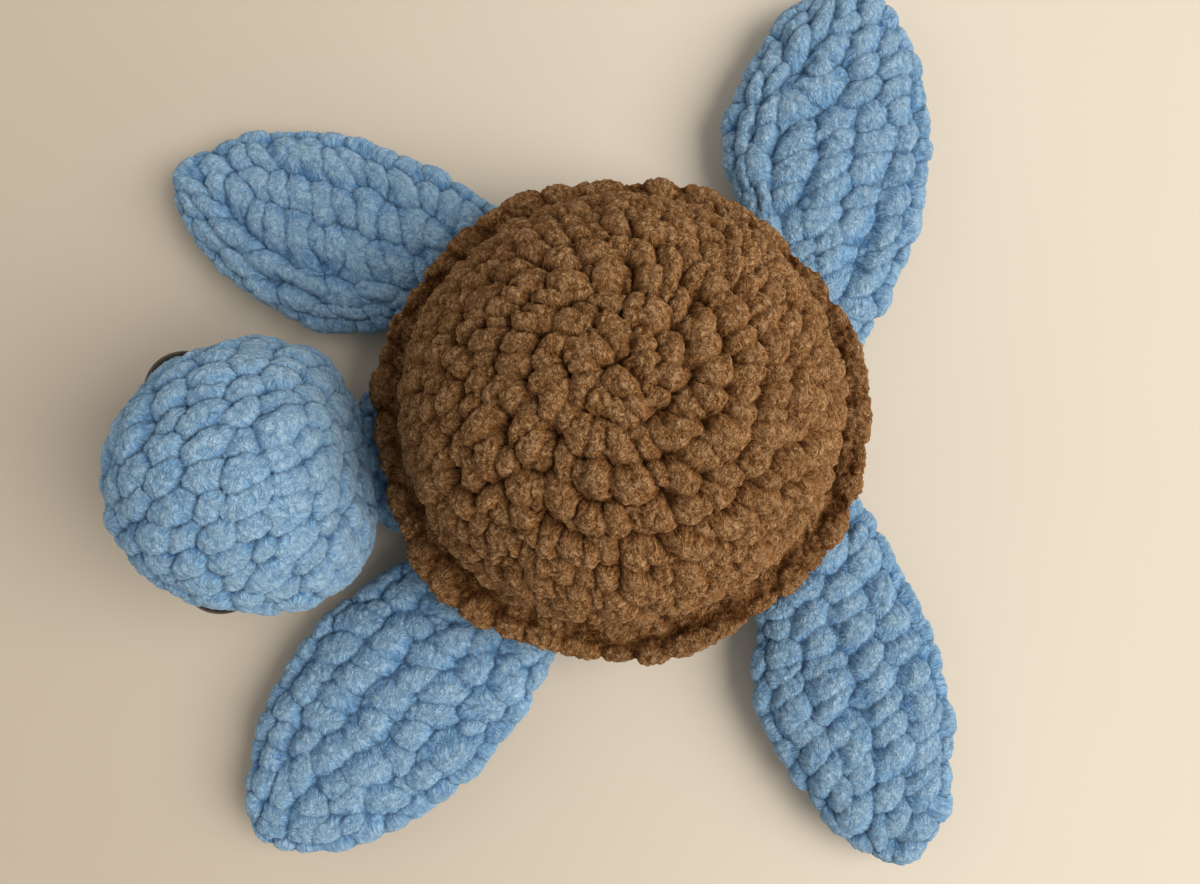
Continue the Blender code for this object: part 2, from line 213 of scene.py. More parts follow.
brownChenille = chenille("brownChenilleYarn",
                         dict(root="#3b1900", body="#845c36", tip="#b6926b", sheen="#a5764a"),
                         dict(stroke=0.0011, strokeLength=0.0026, curl=0.0013, turns=3.4, crown=0.0011,
                              matted=0.60, contrast=0.40, bump=0.0007, patchiness=0.12, sheen=0.9))
blueChenille = chenille("blueChenilleYarn",
                        dict(root="#416f9e", body="#7ba1c3", tip="#a9c5da", sheen="#a9c5da"),
                        dict(stroke=0.0011, strokeLength=0.0030, curl=0.0013, turns=3.4, crown=0.0011,
                             matted=0.45, contrast=0.27, bump=0.0004, patchiness=0.07, sheen=0.6))


def mouldedAcrylic(name):
    # dyed acrylic, polished in the mould: near black and glassy, with a faint brown depth
    material, tree, shader, own = newMaterial(name)
    # handling marks of about 2 mm dull the gloss here and there
    smears = addNode(tree, "TexNoise", {"Vector": own, "Scale": 500.0, "Detail": 3.0})
    dulling = addNode(tree, "MapRange", {"Value": smears, "From Min": 0.35, "From Max": 0.75,
                                         "To Min": 0.16, "To Max": 0.28})
    tint = addRamp(tree, smears, "#0c0907", "#1a130e")
    feed(tree, shader, {"Base Color": tint, "Roughness": dulling, "IOR": 1.35, "Specular IOR Level": 0.12})
    return material


def mouldedPolypropylene(name):
    # natural polypropylene, matt from the mould, slightly milky
    material, tree, shader, own = newMaterial(name)
    grain = addNode(tree, "TexNoise", {"Vector": own, "Scale": 900.0, "Detail": 2.0})
    milk = addRamp(tree, grain, "#d9d7cf", "#ebe9e2")
    bumps = addNode(tree, "Bump", {"Height": grain, "Strength": 0.2, "Distance": 0.0001})
    feed(tree, shader, {"Base Color": milk, "Normal": bumps, "Roughness": 0.5, "IOR": 1.49})
    return material


def cardedFibre(name):
    # carded polyester filling: white crimped fibre in soft clumps
    material, tree, shader, own = newMaterial(name)
    clumps = addNode(tree, "TexNoise", {"Vector": own, "Scale": 300.0, "Detail": 6.0, "Roughness": 0.7,
                                        "Distortion": 1.5})
    white = addRamp(tree, clumps, "#cfcbc2", "#f4f2ec")
    bumps = addNode(tree, "Bump", {"Height": clumps, "Strength": 0.8, "Distance": 0.001})
    feed(tree, shader, {"Base Color": white, "Normal": bumps, "Roughness": 1.0, "Sheen Weight": 0.4})
    return material


acrylicEye = mouldedAcrylic("glossyBlackAcrylic")
polypropyleneWasher = mouldedPolypropylene("milkyPolypropylene")
fibreFilling = cardedFibre("cardedPolyesterFibre")
print("turtle: materials ready")


# Making a stuffed form, then its stitches

def addForm(name, place, segments, rings):
    # a ball whose points a function moves to the shape of the stuffed form
    deselectAll()
    bpy.ops.mesh.primitive_uv_sphere_add(segments=segments, ring_count=rings, radius=1, location=(0, 0, 0))
    form = bpy.context.object
    form.name = form.data.name = name
    movePoints(form, place(pointsOf(form)))
    return form


def puffUp(form, pressure, cap, grip):
    # the filling presses the cover out: cloth under pressure, pinned at its seam, moving up to the cap
    frames = 20
    rest = pointsOf(form)
    group = form.vertex_groups.new(name="grip")
    group.add([int(at) for at in np.nonzero(grip(rest))[0]], 1.0, "REPLACE")
    cloth = form.modifiers.new("filling", "CLOTH")
    settings = cloth.settings
    settings.quality = 6
    settings.mass = 0.3
    settings.tension_stiffness = settings.compression_stiffness = 20
    settings.bending_stiffness = 2
    settings.use_pressure = True
    settings.uniform_pressure_force = pressure
    settings.effector_weights.gravity = 0
    cloth.collision_settings.use_collision = False
    settings.vertex_group_mass = "grip"
    cloth.point_cache.frame_start, cloth.point_cache.frame_end = 1, frames
    for step in range(1, frames + 1):
        bpy.context.scene.frame_set(step)
    applyModifiers(form)
    bpy.context.scene.frame_set(1)
    moved = pointsOf(form) - rest
    reach = np.linalg.norm(moved, axis=1, keepdims=True)
    movePoints(form, rest + moved * np.minimum(1, cap / np.maximum(reach, 1e-9)))
    form.vertex_groups.clear()


def fineMesh(form, voxel, smoothing=5):
    remesh = form.modifiers.new("evenMesh", "REMESH")
    remesh.mode = "VOXEL"
    remesh.voxel_size = voxel
    smooth = form.modifiers.new("even", "SMOOTH")
    smooth.factor = 0.5
    smooth.iterations = smoothing
    applyModifiers(form)


def cutFlat(form, height, keepAbove=True):
    # leaves out the side nobody sees and closes the form there
    pickOnly(form)
    bpy.ops.object.mode_set(mode="EDIT")
    bpy.ops.mesh.select_all(action="SELECT")
    bpy.ops.mesh.bisect(plane_co=(0, 0, height), plane_no=(0, 0, 1), use_fill=True,
                        clear_inner=keepAbove, clear_outer=not keepAbove)
    bpy.ops.object.mode_set(mode="OBJECT")


def unitAt(turn, around):
    return np.stack([np.sin(turn) * np.cos(around), np.sin(turn) * np.sin(around), np.cos(turn)], -1)


# what every crocheted piece shares: the stitch's outline, its plump top and the creases beside it
crochetLook = dict(slantSpread=13, wander=0.0008, sizeSpread=0.13, unevenness=0.00035, square=2.1,
                   flatness=2.2, rim=0.96, flank=1.7, crease=1.2, groove=0.0007, grooveWidth=0.0003,
                   pit=0.0008, pitWidth=0.0004, softEdge=0.0007, softPatch=0.0026, frayedEdge=0.00032,
                   frayedPatch=0.0011, openPatch=0.0055, crownShade=0.62, edgeShade=0.40, creaseShade=0.45,
                   pitShade=0.40, tuftShade=0.22, curlShade=0.20)


def stitchSet(centre, across, outward, look, chance):
    # one stitch is a fat slanted lobe; each has its own small differences
    count = len(centre)
    slant = np.radians(look["slant"] + look["slantSpread"] * chance.standard_normal(count))[:, None]
    side = np.cross(outward, across)
    long = unitRows(across * np.cos(slant) + side * np.sin(slant))
    for direction in (across, side):
        centre = centre + direction * chance.normal(0, look["wander"], count)[:, None]
    spread = 1 + look["sizeSpread"] * chance.standard_normal((count, 3))
    size = np.clip(spread, 0.75, 1.3) * np.array([look["halfLength"], look["halfWidth"], look["height"]])
    lift = chance.normal(0, look["unevenness"], count)
    return dict(centre=centre, long=long, outward=outward, size=size, lift=lift, tone=chance.random(count))


def joinSets(*sets):
    return {key: np.concatenate([one[key] for one in sets]) for key in sets[0]}


def roundsOver(place, look, chance, fromPole=1):
    # spiral rounds of stitches over a form, worked from its pole as far as look["reach"] of the way
    lean = np.array([look.get("crownLean", 0), 0, 0])

    def skin(turn, around):
        unit = unitAt(turn, around) * np.array([1, 1, fromPole])
        return place(unitRows(unit + lean * np.maximum(unit[..., 2:], 0)))

    turns = np.linspace(1e-4, math.pi - 1e-4, 700)
    meridians = [place(unitAt(turns, np.full_like(turns, angle)) * np.array([1, 1, fromPole]))
                 for angle in np.linspace(0, math.tau, 9)[:-1]]
    steps = np.mean([np.linalg.norm(np.diff(line, axis=0), axis=1) for line in meridians], axis=0)
    lengths = np.concatenate([[0], np.cumsum(steps)])
    last = lengths[-1] * look["reach"]
    rowStep = last / max(2, round(last / look["rowPitch"]))
    # each stitch follows the last; the first round climbs half a row, the rest a whole one
    angles, distances, angle, distance = [], [], 0.0, rowStep / 2
    while distance < last - rowStep / 2:
        turn = np.interp(distance, lengths, turns)
        ring = place(unitAt(np.full(97, turn), np.linspace(0, math.tau, 97)) * np.array([1, 1, fromPole]))
        around = np.linalg.norm(np.diff(ring, axis=0), axis=1).sum()
        angles.append(angle)
        distances.append(distance)
        angle += look["stitchPitch"] / max(around / math.tau, look["stitchPitch"])
        wound = angle / math.tau
        distance = rowStep / 2 * (1 + wound) if wound < 1 else rowStep * wound
    turn, around = np.interp(distances, lengths, turns), np.array(angles)
    centre = skin(turn, around)
    along = unitRows(skin(turn, around + 1e-3) - centre)
    across = skin(turn + 1e-3, around) - centre
    across = unitRows(across - along * (across * along).sum(1, keepdims=True))
    outward = np.cross(across, along) * fromPole
    main = stitchSet(centre, across, outward, look, chance)
    if not look.get("between"):
        return main
    # the back leg of each stitch shows lower down between two lobes
    half = np.append(np.diff(around), 0.1) / 2
    beside = skin(turn, around + half)
    small = dict(look, **look["between"])
    return joinSets(main, stitchSet(beside, across, outward, small, chance))


def wavering(points, size):
    # a soft random shift of every point, alike over patches of the given size
    return np.array([noise.noise_vector(Vector(p)) for p in points / size])


def tuftsAt(points, size):
    # rounded tufts with creases between them, from the nearest points of a cell pattern
    scaled = points / size
    nearest = np.array([noise.voronoi(Vector(p))[0][0] for p in scaled + wavering(scaled, 1.8) * 0.55])
    return 0.5 - 1.6 * nearest**2


def fanned(x, y, halfLength, halfWidth, tone):
    # how far round the stitch's outline a point is, and how far out from the yarn's core
    core = np.maximum(halfLength - halfWidth, 0)
    beyond = np.maximum(np.abs(x) - core, 0)
    bend = np.arctan2(beyond, np.maximum(np.abs(y), 1e-6))
    along = np.sign(x) * (np.minimum(np.abs(x), core) + halfWidth * bend)
    return np.stack([along + tone * 0.05, np.sign(y) * np.hypot(beyond, y)], -1)


# how the cover lies round an eye, in shares of the eye's radius
seat = dict(reach=3.1, slope=1.4, easing=0.45, easeReach=1.5, under=1.15, lip=1.02, lipRise=1.2,
            darkReach=1.10, darkEdge=0.1, darkness=0.4)


def pressIn(points, result, shade, eye):
    # the washer draws the cover in round an eye
    middle, direction, radius, depth, pull = eye
    offset = points - middle
    up = offset @ direction
    out = np.linalg.norm(offset - up[:, None] * direction, axis=1)
    near = np.clip((seat["reach"] * radius - out) / (seat["slope"] * radius), 0, 1) * (up > -radius)
    close = 1 - seat["easing"] * np.exp(-(out / (seat["easeReach"] * radius)) ** 4)
    result = result - direction * (pull * close * near**2 * (3 - 2 * near))[:, None]
    # and the eye presses it flat underneath
    under = (out < seat["under"] * radius) & (up > -radius)
    allowed = -depth + np.maximum(out - seat["lip"] * radius, 0) * seat["lipRise"]
    level = (result - middle) @ direction
    result = result + direction * (np.minimum(allowed - level, 0) * under)[:, None]
    # painted shade on the cover where the eye sits over it
    covered = np.clip((radius * seat["darkReach"] - out) / (radius * seat["darkEdge"]), 0, 1)
    return result, shade - seat["darkness"] * under * covered


def crochet(piece, stitches, look, eyesOn=(), floor=None):
    # raises every point of the form to the top of the stitch that covers it, brushes up the pile, and paints
    # shade into the creases
    points, normals = pointsOf(piece), normalsOf(piece)
    # the edge of a stitch wavers and frays, as pile does
    frayed = points + wavering(points, look["softPatch"]) * look["softEdge"]
    frayed = frayed + wavering(points, look["frayedPatch"]) * look["frayedEdge"]
    centre, outward = stitches["centre"].copy(), stitches["outward"].copy()
    for at in range(len(centre)):
        found, place, normal, _ = piece.closest_point_on_mesh(Vector(centre[at]))
        if found:
            centre[at], outward[at] = place, normal
    long = unitRows(stitches["long"] - outward * (stitches["long"] * outward).sum(1, keepdims=True))
    side = np.cross(outward, long)
    size, lift = stitches["size"], stitches["lift"]
    nearest = min(8, len(centre))
    raised, covered, strand, parting, meeting = np.empty((5, len(points)))
    yarn = np.empty((len(points), 2))
    batch = 20000
    for start in range(0, len(points), batch):
        part = slice(start, start + batch)
        some = frayed[part]
        away = (some**2).sum(1)[:, None] + (centre**2).sum(1)[None] - 2 * some @ centre.T
        near = np.argpartition(away, nearest - 1, axis=1)[:, :nearest]
        offset = some[:, None] - centre[near]
        x = (offset * long[near]).sum(2)
        y = (offset * side[near]).sum(2)
        z = (offset * outward[near]).sum(2)
        a, b, h = size[near, 0], size[near, 1], size[near, 2]
        reach = (np.abs(x / a) ** look["square"] + np.abs(y / b) ** look["square"]) ** (1 / look["square"])
        reach = np.sqrt(reach**2 + (z / (look["flank"] * b)) ** 2)
        # a plump top as far as its rim, then a slope down into the crease
        dome = np.sqrt(1 - np.minimum(reach, look["rim"]) ** look["flatness"])
        dome = dome - look["crease"] * np.maximum(reach - look["rim"], 0)
        height = h * (dome + look["shingle"] * np.clip(x / a, -1, 1)) + lift[near]
        top = height.argmax(1)
        rows = np.arange(len(some))
        three = np.sort(height, axis=1)[:, -3:]
        parting[part] = three[:, 2] - three[:, 1]
        meeting[part] = three[:, 2] - three[:, 0]
        raised[part] = height[rows, top]
        covered[part] = dome[rows, top]
        tone = stitches["tone"][near[rows, top]]
        strand[part] = tone
        yarn[part] = fanned(x[rows, top], y[rows, top], a[rows, top], b[rows, top], tone)
    raised = np.maximum(raised, -look["deepest"])
    # some creases are open and others closed by the pile
    openness = np.clip(0.55 + 1.3 * wavering(points, look["openPatch"])[:, 0], 0.06, 1)
    groove = np.exp(-parting / look["grooveWidth"]) * openness
    # and where three stitches meet there is a deeper pit
    pit = np.exp(-(meeting / look["pitWidth"]) ** 2)
    raised = raised - look["groove"] * groove - look["pit"] * pit
    full = np.clip(covered, 0, 1)
    outer = points + normals * raised[:, None]
    tufts, curls = tuftsAt(outer, look["tuft"]), tuftsAt(outer, look["curl"])
    brushed = (look["tuftRelief"] * tufts + look["curlRelief"] * curls) * (0.5 + 0.5 * full)
    result = points + normals * (raised - look["sink"] + brushed)[:, None]
    # painted shade: darker toward each stitch's edge, in the creases and pits and between tufts, lighter on
    # tuft tops
    shade = look["crownShade"] - look["edgeShade"] * (1 - full) - look["creaseShade"] * groove
    shade = shade - look["pitShade"] * pit + look["tuftShade"] * tufts + look["curlShade"] * curls
    for eye in eyesOn:
        result, shade = pressIn(points, result, shade, eye)
    shade = np.clip(shade, 0, 1)
    if floor is not None:
        # where it rests, the pile is pressed flat
        low = result[:, 2] < floor
        result[low, 2] = floor
    movePoints(piece, result)
    mesh = piece.data
    # the painted shade and each stitch's own tone go to the material as attributes
    for name, values in {"paintedShade": shade, "strand": strand}.items():
        attribute = mesh.attributes.new(name, "FLOAT", "POINT")
        attribute.data.foreach_set("value", values.astype(np.float32))
    corners = np.empty(len(mesh.loops), np.int32)
    mesh.loops.foreach_get("vertex_index", corners)
    for old in list(mesh.uv_layers):
        mesh.uv_layers.remove(old)
    layer = mesh.uv_layers.new(name="yarn")
    layer.data.foreach_set("uv", yarn[corners].astype(np.float32).ravel())


def finishCrochet(piece, material, body, node):
    piece.data.materials.clear()
    piece.data.materials.append(material)
    pickOnly(piece)
    bpy.ops.object.shade_smooth()
    if body:
        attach(piece, body)
    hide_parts(node)
    print("turtle:", piece.name, len(piece.data.polygons), "faces")


def turnedForm(outline, sideShare, shift=(0, 0)):
    # a form turned round Z from its (radius, height) outline, a little narrower than long
    outline = np.array(outline)
    steps = np.linalg.norm(np.diff(outline, axis=0), axis=1)
    lengths = np.concatenate([[0], np.cumsum(steps)]) / steps.sum()

    def place(unit):
        share = np.arccos(np.clip(unit[..., 2], -1, 1)) / math.pi
        radius = np.interp(share, lengths, outline[:, 0])
        height = np.interp(share, lengths, outline[:, 1])
        flat = np.maximum(np.linalg.norm(unit[..., :2], axis=-1), 1e-9)
        return np.stack([sideShare * radius * unit[..., 0] / flat + shift[0],
                         radius * unit[..., 1] / flat + shift[1], height], -1)

    return place


# Shell

shell = dict(crochetLook, radius=0.0604, sideShare=0.9603, base=0.0306, rise=0.059, fullness=2.08,
             inset=0.0062, crownInset=0.0012, hem=0.0040, shift=(0.0003, -0.0002), voxel=0.00038,
             crownShift=0.0050, rowPitch=0.0080, stitchPitch=0.0083, slant=45,
             halfLength=0.0056, halfWidth=0.0036, height=0.0033, shingle=0.16, deepest=0.0016, sink=0.0020,
             groove=0.0010, grooveWidth=0.0004, pit=0.0012, pitWidth=0.0006, edgeShade=0.42,
             tuft=0.0018, tuftRelief=0.0006, curl=0.0010, curlRelief=0.0004,
             between=dict(halfLength=0.0045, halfWidth=0.0029, height=0.0032, slant=30))


def quarter(radius, rise, fullness):
    # the outline of half a dome, from the middle of its top to its edge
    angle = np.linspace(0, math.pi / 2, 120)
    return radius * np.sin(angle) ** (2 / fullness), rise * np.maximum(np.cos(angle), 0) ** (2 / fullness)


def makeShell():
    radius, height = quarter(shell["radius"] - shell["inset"], shell["rise"] - shell["crownInset"],
                             shell["fullness"])
    # its last round reaches down into the brim
    hem = shell["base"] - shell["hem"]
    outline = list(zip(radius, shell["base"] + height)) + [(radius[-1], hem)]
    way = np.linalg.norm(np.diff(outline, axis=0), axis=1).sum()
    place = turnedForm(outline + [(0, hem)], shell["sideShare"], shell["shift"])
    look = dict(shell, reach=way / (way + radius[-1]), crownLean=-shell["crownShift"] / shell["rise"])
    form = addForm("crochetedShell", place, 72, 48)
    puffUp(form, 3.0, 0.0012, lambda at: at[:, 2] < shell["base"] + 0.001)
    fineMesh(form, shell["voxel"])
    cutFlat(form, hem + 0.0004)
    crochet(form, roundsOver(place, look, np.random.default_rng(11)), look)
    finishCrochet(form, brownChenille, "body", "shell_cover")


makeShell()


# Brim, a round of stitches that stands out under the shell

brim = dict(crochetLook, middle=0.05985, halfAcross=0.0062, inwards=0.0105, halfThick=0.0033, level=0.0262,
            sideShare=0.9603, fullness=2.6, upturn=0.0012, wave=0.0007,
            rimShift=(0.0012, -0.0016), rimShare=0.986, dent=0.0029, dentWidth=0.15, voxel=0.00048,
            perRound=41, slant=62, slantSpread=18, wander=0.0011, sizeSpread=0.16,
            halfLength=0.0069, halfWidth=0.0043, shingle=0.14, deepest=0.0010, sink=0.0010,
            groove=0.0005, grooveWidth=0.0004, pit=0.0006, edgeShade=0.42,
            rows=(28, 104, 180, 256, -40), rowHeights=(0.0017, 0.0012, 0.0010, 0.0014, 0.0015),
            tuft=0.0021, tuftRelief=0.0010, curl=0.0010, curlRelief=0.0004)


def brimSkin(turn, section):
    # turn runs round the turtle, section round the brim's own cross-section from its outer edge upwards
    power = 2 / brim["fullness"]
    side, up = np.cos(section), np.sin(section)
    # its inner side reaches in under the shell
    half = np.where(side < 0, brim["inwards"], brim["halfAcross"])
    out = brim["middle"] + half * np.sign(side) * np.abs(side) ** power
    high = brim["level"] + brim["halfThick"] * np.sign(up) * np.abs(up) ** power
    rim = np.clip((out - brim["middle"]) / brim["halfAcross"], 0, 1)
    high = high + rim * (brim["upturn"] + brim["wave"] * (np.sin(5 * turn + 1) + np.sin(8 * turn)))
    out = out + rim * brim["wave"] * np.sin(7 * turn + 2)
    # it gives way a little where the head comes near
    front = np.exp(-(np.sin(turn) + 1) / brim["dentWidth"])
    out = out * (1 - rim * (1 - brim["rimShare"])) - rim * front * brim["dent"]
    return np.stack([brim["sideShare"] * out * np.cos(turn) + rim * brim["rimShift"][0],
                     out * np.sin(turn) + rim * brim["rimShift"][1], high], -1)


def makeBrim():
    deselectAll()
    bpy.ops.mesh.primitive_torus_add(major_segments=144, minor_segments=24, major_radius=1, minor_radius=0.25)
    form = bpy.context.object
    form.name = form.data.name = "crochetedBrim"
    at = pointsOf(form)
    section = np.arctan2(at[:, 2], np.hypot(at[:, 0], at[:, 1]) - 1)
    movePoints(form, brimSkin(np.arctan2(at[:, 1], at[:, 0]), section))
    fineMesh(form, brim["voxel"])
    chance = np.random.default_rng(12)
    sets = []
    for row, middle in enumerate(np.radians(brim["rows"])):
        turn = (np.arange(brim["perRound"]) + 0.5 * (row % 2)) / brim["perRound"] * math.tau
        section = np.full_like(turn, middle)
        centre = brimSkin(turn, section)
        along = unitRows(brimSkin(turn + 1e-3, section) - centre)
        across = brimSkin(turn, section + 1e-3) - centre
        across = unitRows(across - along * (across * along).sum(1, keepdims=True))
        outward = np.cross(along, across)
        look = dict(brim, height=brim["rowHeights"][row])
        sets.append(stitchSet(centre, across, outward, look, chance))
    crochet(form, joinSets(*sets), brim)
    finishCrochet(form, brownChenille, "body", "shell_brim")


makeBrim()


# Belly, worked in the same rounds from the middle of its flat

belly = dict(crochetLook, radius=0.0559, depth=0.022, flatCut=0.0005, fullness=2.6, sideShare=0.9603,
             inset=0.0008, voxel=0.00058, rowPitch=0.0080, stitchPitch=0.0083, reach=0.62, slant=42,
             halfLength=0.0062, halfWidth=0.0041, height=0.0024, shingle=0.15, deepest=0.0014, sink=0.0016,
             tuft=0.0026, tuftRelief=0.0003, curl=0.0010, curlRelief=0.00025,
             between=dict(halfLength=0.0034, halfWidth=0.0024, height=0.0018, slant=-20))


def makeBelly():
    full = belly["depth"] + belly["flatCut"]
    radius, down = quarter(belly["radius"] - belly["inset"], full - belly["inset"], belly["fullness"])
    height = np.maximum(belly["depth"] - down, belly["inset"])
    outline = [(0, belly["depth"])] + list(zip(radius[::-1], height[::-1]))
    place = turnedForm(outline, belly["sideShare"])
    chance = np.random.default_rng(13)
    form = addForm("crochetedBelly", place, 72, 40)
    fineMesh(form, belly["voxel"])
    cutFlat(form, belly["depth"] - 0.0004, keepAbove=False)
    stitches = roundsOver(place, belly, chance, fromPole=-1)
    crochet(form, stitches, belly, floor=0.00015)
    finishCrochet(form, blueChenille, "body", "belly_cover")


makeBelly()


# Head, a ball worked in rounds from the nose to the back

head = dict(crochetLook, centre=(0, -0.0958, 0.0343), sideways=0.0343, upright=0.0340, front=0.0320,
            back=0.0263, backRound=0.0090, bulge=0.0028, bulgeAt=(0.70, 0.08, 0.71), bulgeShare=0.18,
            roll=6.5, inset=-0.0003, voxel=0.00042, rowPitch=0.0088, stitchPitch=0.0069, reach=1.0,
            slant=28, halfLength=0.0065, halfWidth=0.0042, height=0.0022, groove=0.0006,
            shingle=0.20, deepest=0.0011, sink=0.0011,
            edgeShade=0.36, creaseShade=0.40, tuft=0.0026, tuftRelief=0.0004, curl=0.0010, curlRelief=0.00028)

eyes = dict(bearing=63.5, lift=-3.0, sink=0.0015, radius=0.0083, hollow=0.0004, apart=0.0343,
            pullRight=0.0026, pullLeft=0.0012)


def headPlace():
    front, back, turnIn, sideways, upright = [head[size] - head["inset"] for size in
                                              ("front", "back", "backRound", "sideways", "upright")]
    tilt = np.array(Matrix.Rotation(math.radians(head["roll"]), 3, "Y"))

    def place(unit):
        along = -unit[..., 2] * front
        share = np.clip((along - turnIn) / (front - turnIn), 0, 1)
        along = np.where(along > turnIn, turnIn + (back - turnIn) * np.sin(share * math.pi / 2), along)
        at = np.stack([unit[..., 0] * sideways, along, unit[..., 1] * upright], -1)
        # more filling went in behind its left cheek; bulgeAt counts to the left, upwards and back
        towards = np.stack([unit[..., 0], unit[..., 1], -unit[..., 2]], -1)
        aside = 1 - towards @ unitRows(np.array(head["bulgeAt"]))
        swollen = head["bulge"] * np.exp(-aside / head["bulgeShare"])
        at = at + unitRows(at) * swollen[..., None] * np.array([1, 0.7, 1])
        return at @ tilt.T + np.array(head["centre"])

    return place


def eyeSeat(side):
    bearing, lift = math.radians(eyes["bearing"]), math.radians(eyes["lift"])
    outward = Vector((side * math.sin(bearing) * math.cos(lift), -math.cos(bearing) * math.cos(lift),
                      math.sin(lift)))
    reach = 1 / math.sqrt((outward.x / head["sideways"]) ** 2 + (outward.y / eyes["apart"]) ** 2
                          + (outward.z / head["upright"]) ** 2)
    tilt = Matrix.Rotation(math.radians(head["roll"]), 3, "Y")
    place = tilt @ (outward * (reach - eyes["sink"])) + Vector(head["centre"])
    pull = eyes["pullRight"] if side < 0 else eyes["pullLeft"]
    return np.array(place), np.array(tilt @ outward), eyes["radius"], eyes["hollow"], pull


def makeHead():
    place = headPlace()
    form = addForm("crochetedHead", place, 56, 40)
    puffUp(form, 3.0, 0.0010, lambda at: at[:, 1] > head["centre"][1] + 0.024)
    fineMesh(form, head["voxel"])
    stitches = roundsOver(place, head, np.random.default_rng(14))
    crochet(form, stitches, head, eyesOn=[eyeSeat(-1), eyeSeat(1)], floor=0.0004)
    finishCrochet(form, blueChenille, "head", "head_cover")


makeHead()


# Neck, the last rounds of the head gathered on to the belly

neck = dict(crochetLook, centre=(0, -0.0646, 0.0112), sideways=0.0195, forward=0.0098, upright=0.0106,
            fullEnds=0.6, voxel=0.00055, rowPitch=0.0070, stitchPitch=0.0070, reach=1.0, slant=24,
            halfLength=0.0050, halfWidth=0.0038, height=0.0019, shingle=0.1, deepest=0.0012, sink=0.0013,
            tuft=0.0026, tuftRelief=0.0003, curl=0.0010, curlRelief=0.00025)


def makeNeck():
    def place(unit):
        wide = np.maximum(np.hypot(unit[..., 0], unit[..., 1]), 1e-6) ** (neck["fullEnds"] - 1)
        at = np.stack([unit[..., 0] * wide * neck["sideways"], -unit[..., 2] * neck["forward"],
                       unit[..., 1] * wide * neck["upright"]], -1)
        return at + np.array(neck["centre"])

    form = addForm("crochetedNeck", place, 40, 28)
    fineMesh(form, neck["voxel"])
    stitches = roundsOver(place, neck, np.random.default_rng(15))
    crochet(form, stitches, neck, floor=0.0004)
    finishCrochet(form, blueChenille, None, "neck")
    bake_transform(form)


makeNeck()


# Flippers, two layers worked lengthwise with a little filling between them

flipper = dict(crochetLook, thickness=0.018, rootThickness=0.011, rootWidth=0.72, widest=0.42,
               tipWidthPower=0.60, tipThicknessPower=0.40, settle=0.30, straighten=0.50, lift=0.0003,
               inset=0.0006, rootPart=0.18, rootPress=1.15, voxel=0.00050, margin=0.0022, strandMargin=0.0140,
               height=0.0020, groove=0.0004, pit=0.0005, shingle=0.18, deepest=0.0011, sink=0.0011,
               edgeShade=0.30, creaseShade=0.32, tuft=0.0026, tuftRelief=0.0005, curl=0.0010,
               curlRelief=0.00028)
# the chain that closes the edge, and the long strands beside one edge
edgeChain = dict(slant=84, slantSpread=18, halfLength=0.0060, halfWidth=0.0036, height=0.0021)
longStrand = dict(slant=90, slantSpread=5, halfLength=0.0072, halfWidth=0.0027, height=0.0028)
spacing = dict(edgePitch=0.0080, strandPitch=0.0105, strandIn=0.0045, strandApart=0.0052)

flippers = {
    "front_right": dict(length=0.0894, width=0.0552, seat=54, pointing=28.5, columnPitch=0.0108,
                        stitchPitch=0.0063, slant=44, slantChange=0, halfLength=0.0063, halfWidth=0.0034,
                        strands=2, seed=21),
    "front_left": dict(length=0.0926, width=0.0590, seat=-46, pointing=-34.7, columnPitch=0.0102,
                       stitchPitch=0.0073, slant=60, slantChange=10, slantSpread=20, wander=0.0010,
                       sizeSpread=0.14, halfLength=0.0056, halfWidth=0.0039, height=0.0017,
                       strands=0, seed=22),
    "rear_right": dict(length=0.0955, width=0.0600, seat=157, pointing=111.3, columnPitch=0.0113,
                       stitchPitch=0.0068, slant=54, slantChange=0, halfLength=0.0063, halfWidth=0.0035,
                       strands=2, seed=23),
    "rear_left": dict(length=0.0926, width=0.0520, seat=-136, pointing=-99, columnPitch=0.0108,
                      stitchPitch=0.0064, slant=12, slantChange=36, halfLength=0.0063, halfWidth=0.0034,
                      strands=0, seed=24),
}

joints = {joint["name"]: joint for joint in frame["joints"]}


def swell(share, rootShare, tipPower):
    # widest part way along, narrower at the root and closing at the tip
    widest = flipper["widest"]
    before = 1 - (1 - rootShare) * (np.maximum(widest - share, 0) / widest) ** 2
    after = np.maximum(1 - (np.maximum(share - widest, 0) / (1 - widest)) ** 2, 0) ** tipPower
    return before * after


def flipperFrame(corner):
    # the hinge's own axes: outward from the belly, along the hinge, and up
    joint = joints[corner + "_flap"]
    hinge = np.array(joint["pos_m"], float)
    axis = np.array(joint["axis"], float)
    out = np.array([-axis[1], axis[0], 0])
    beside = np.array([-out[1], out[0], 0])
    return hinge, np.stack([out, beside, np.array([0, 0, 1.0])])


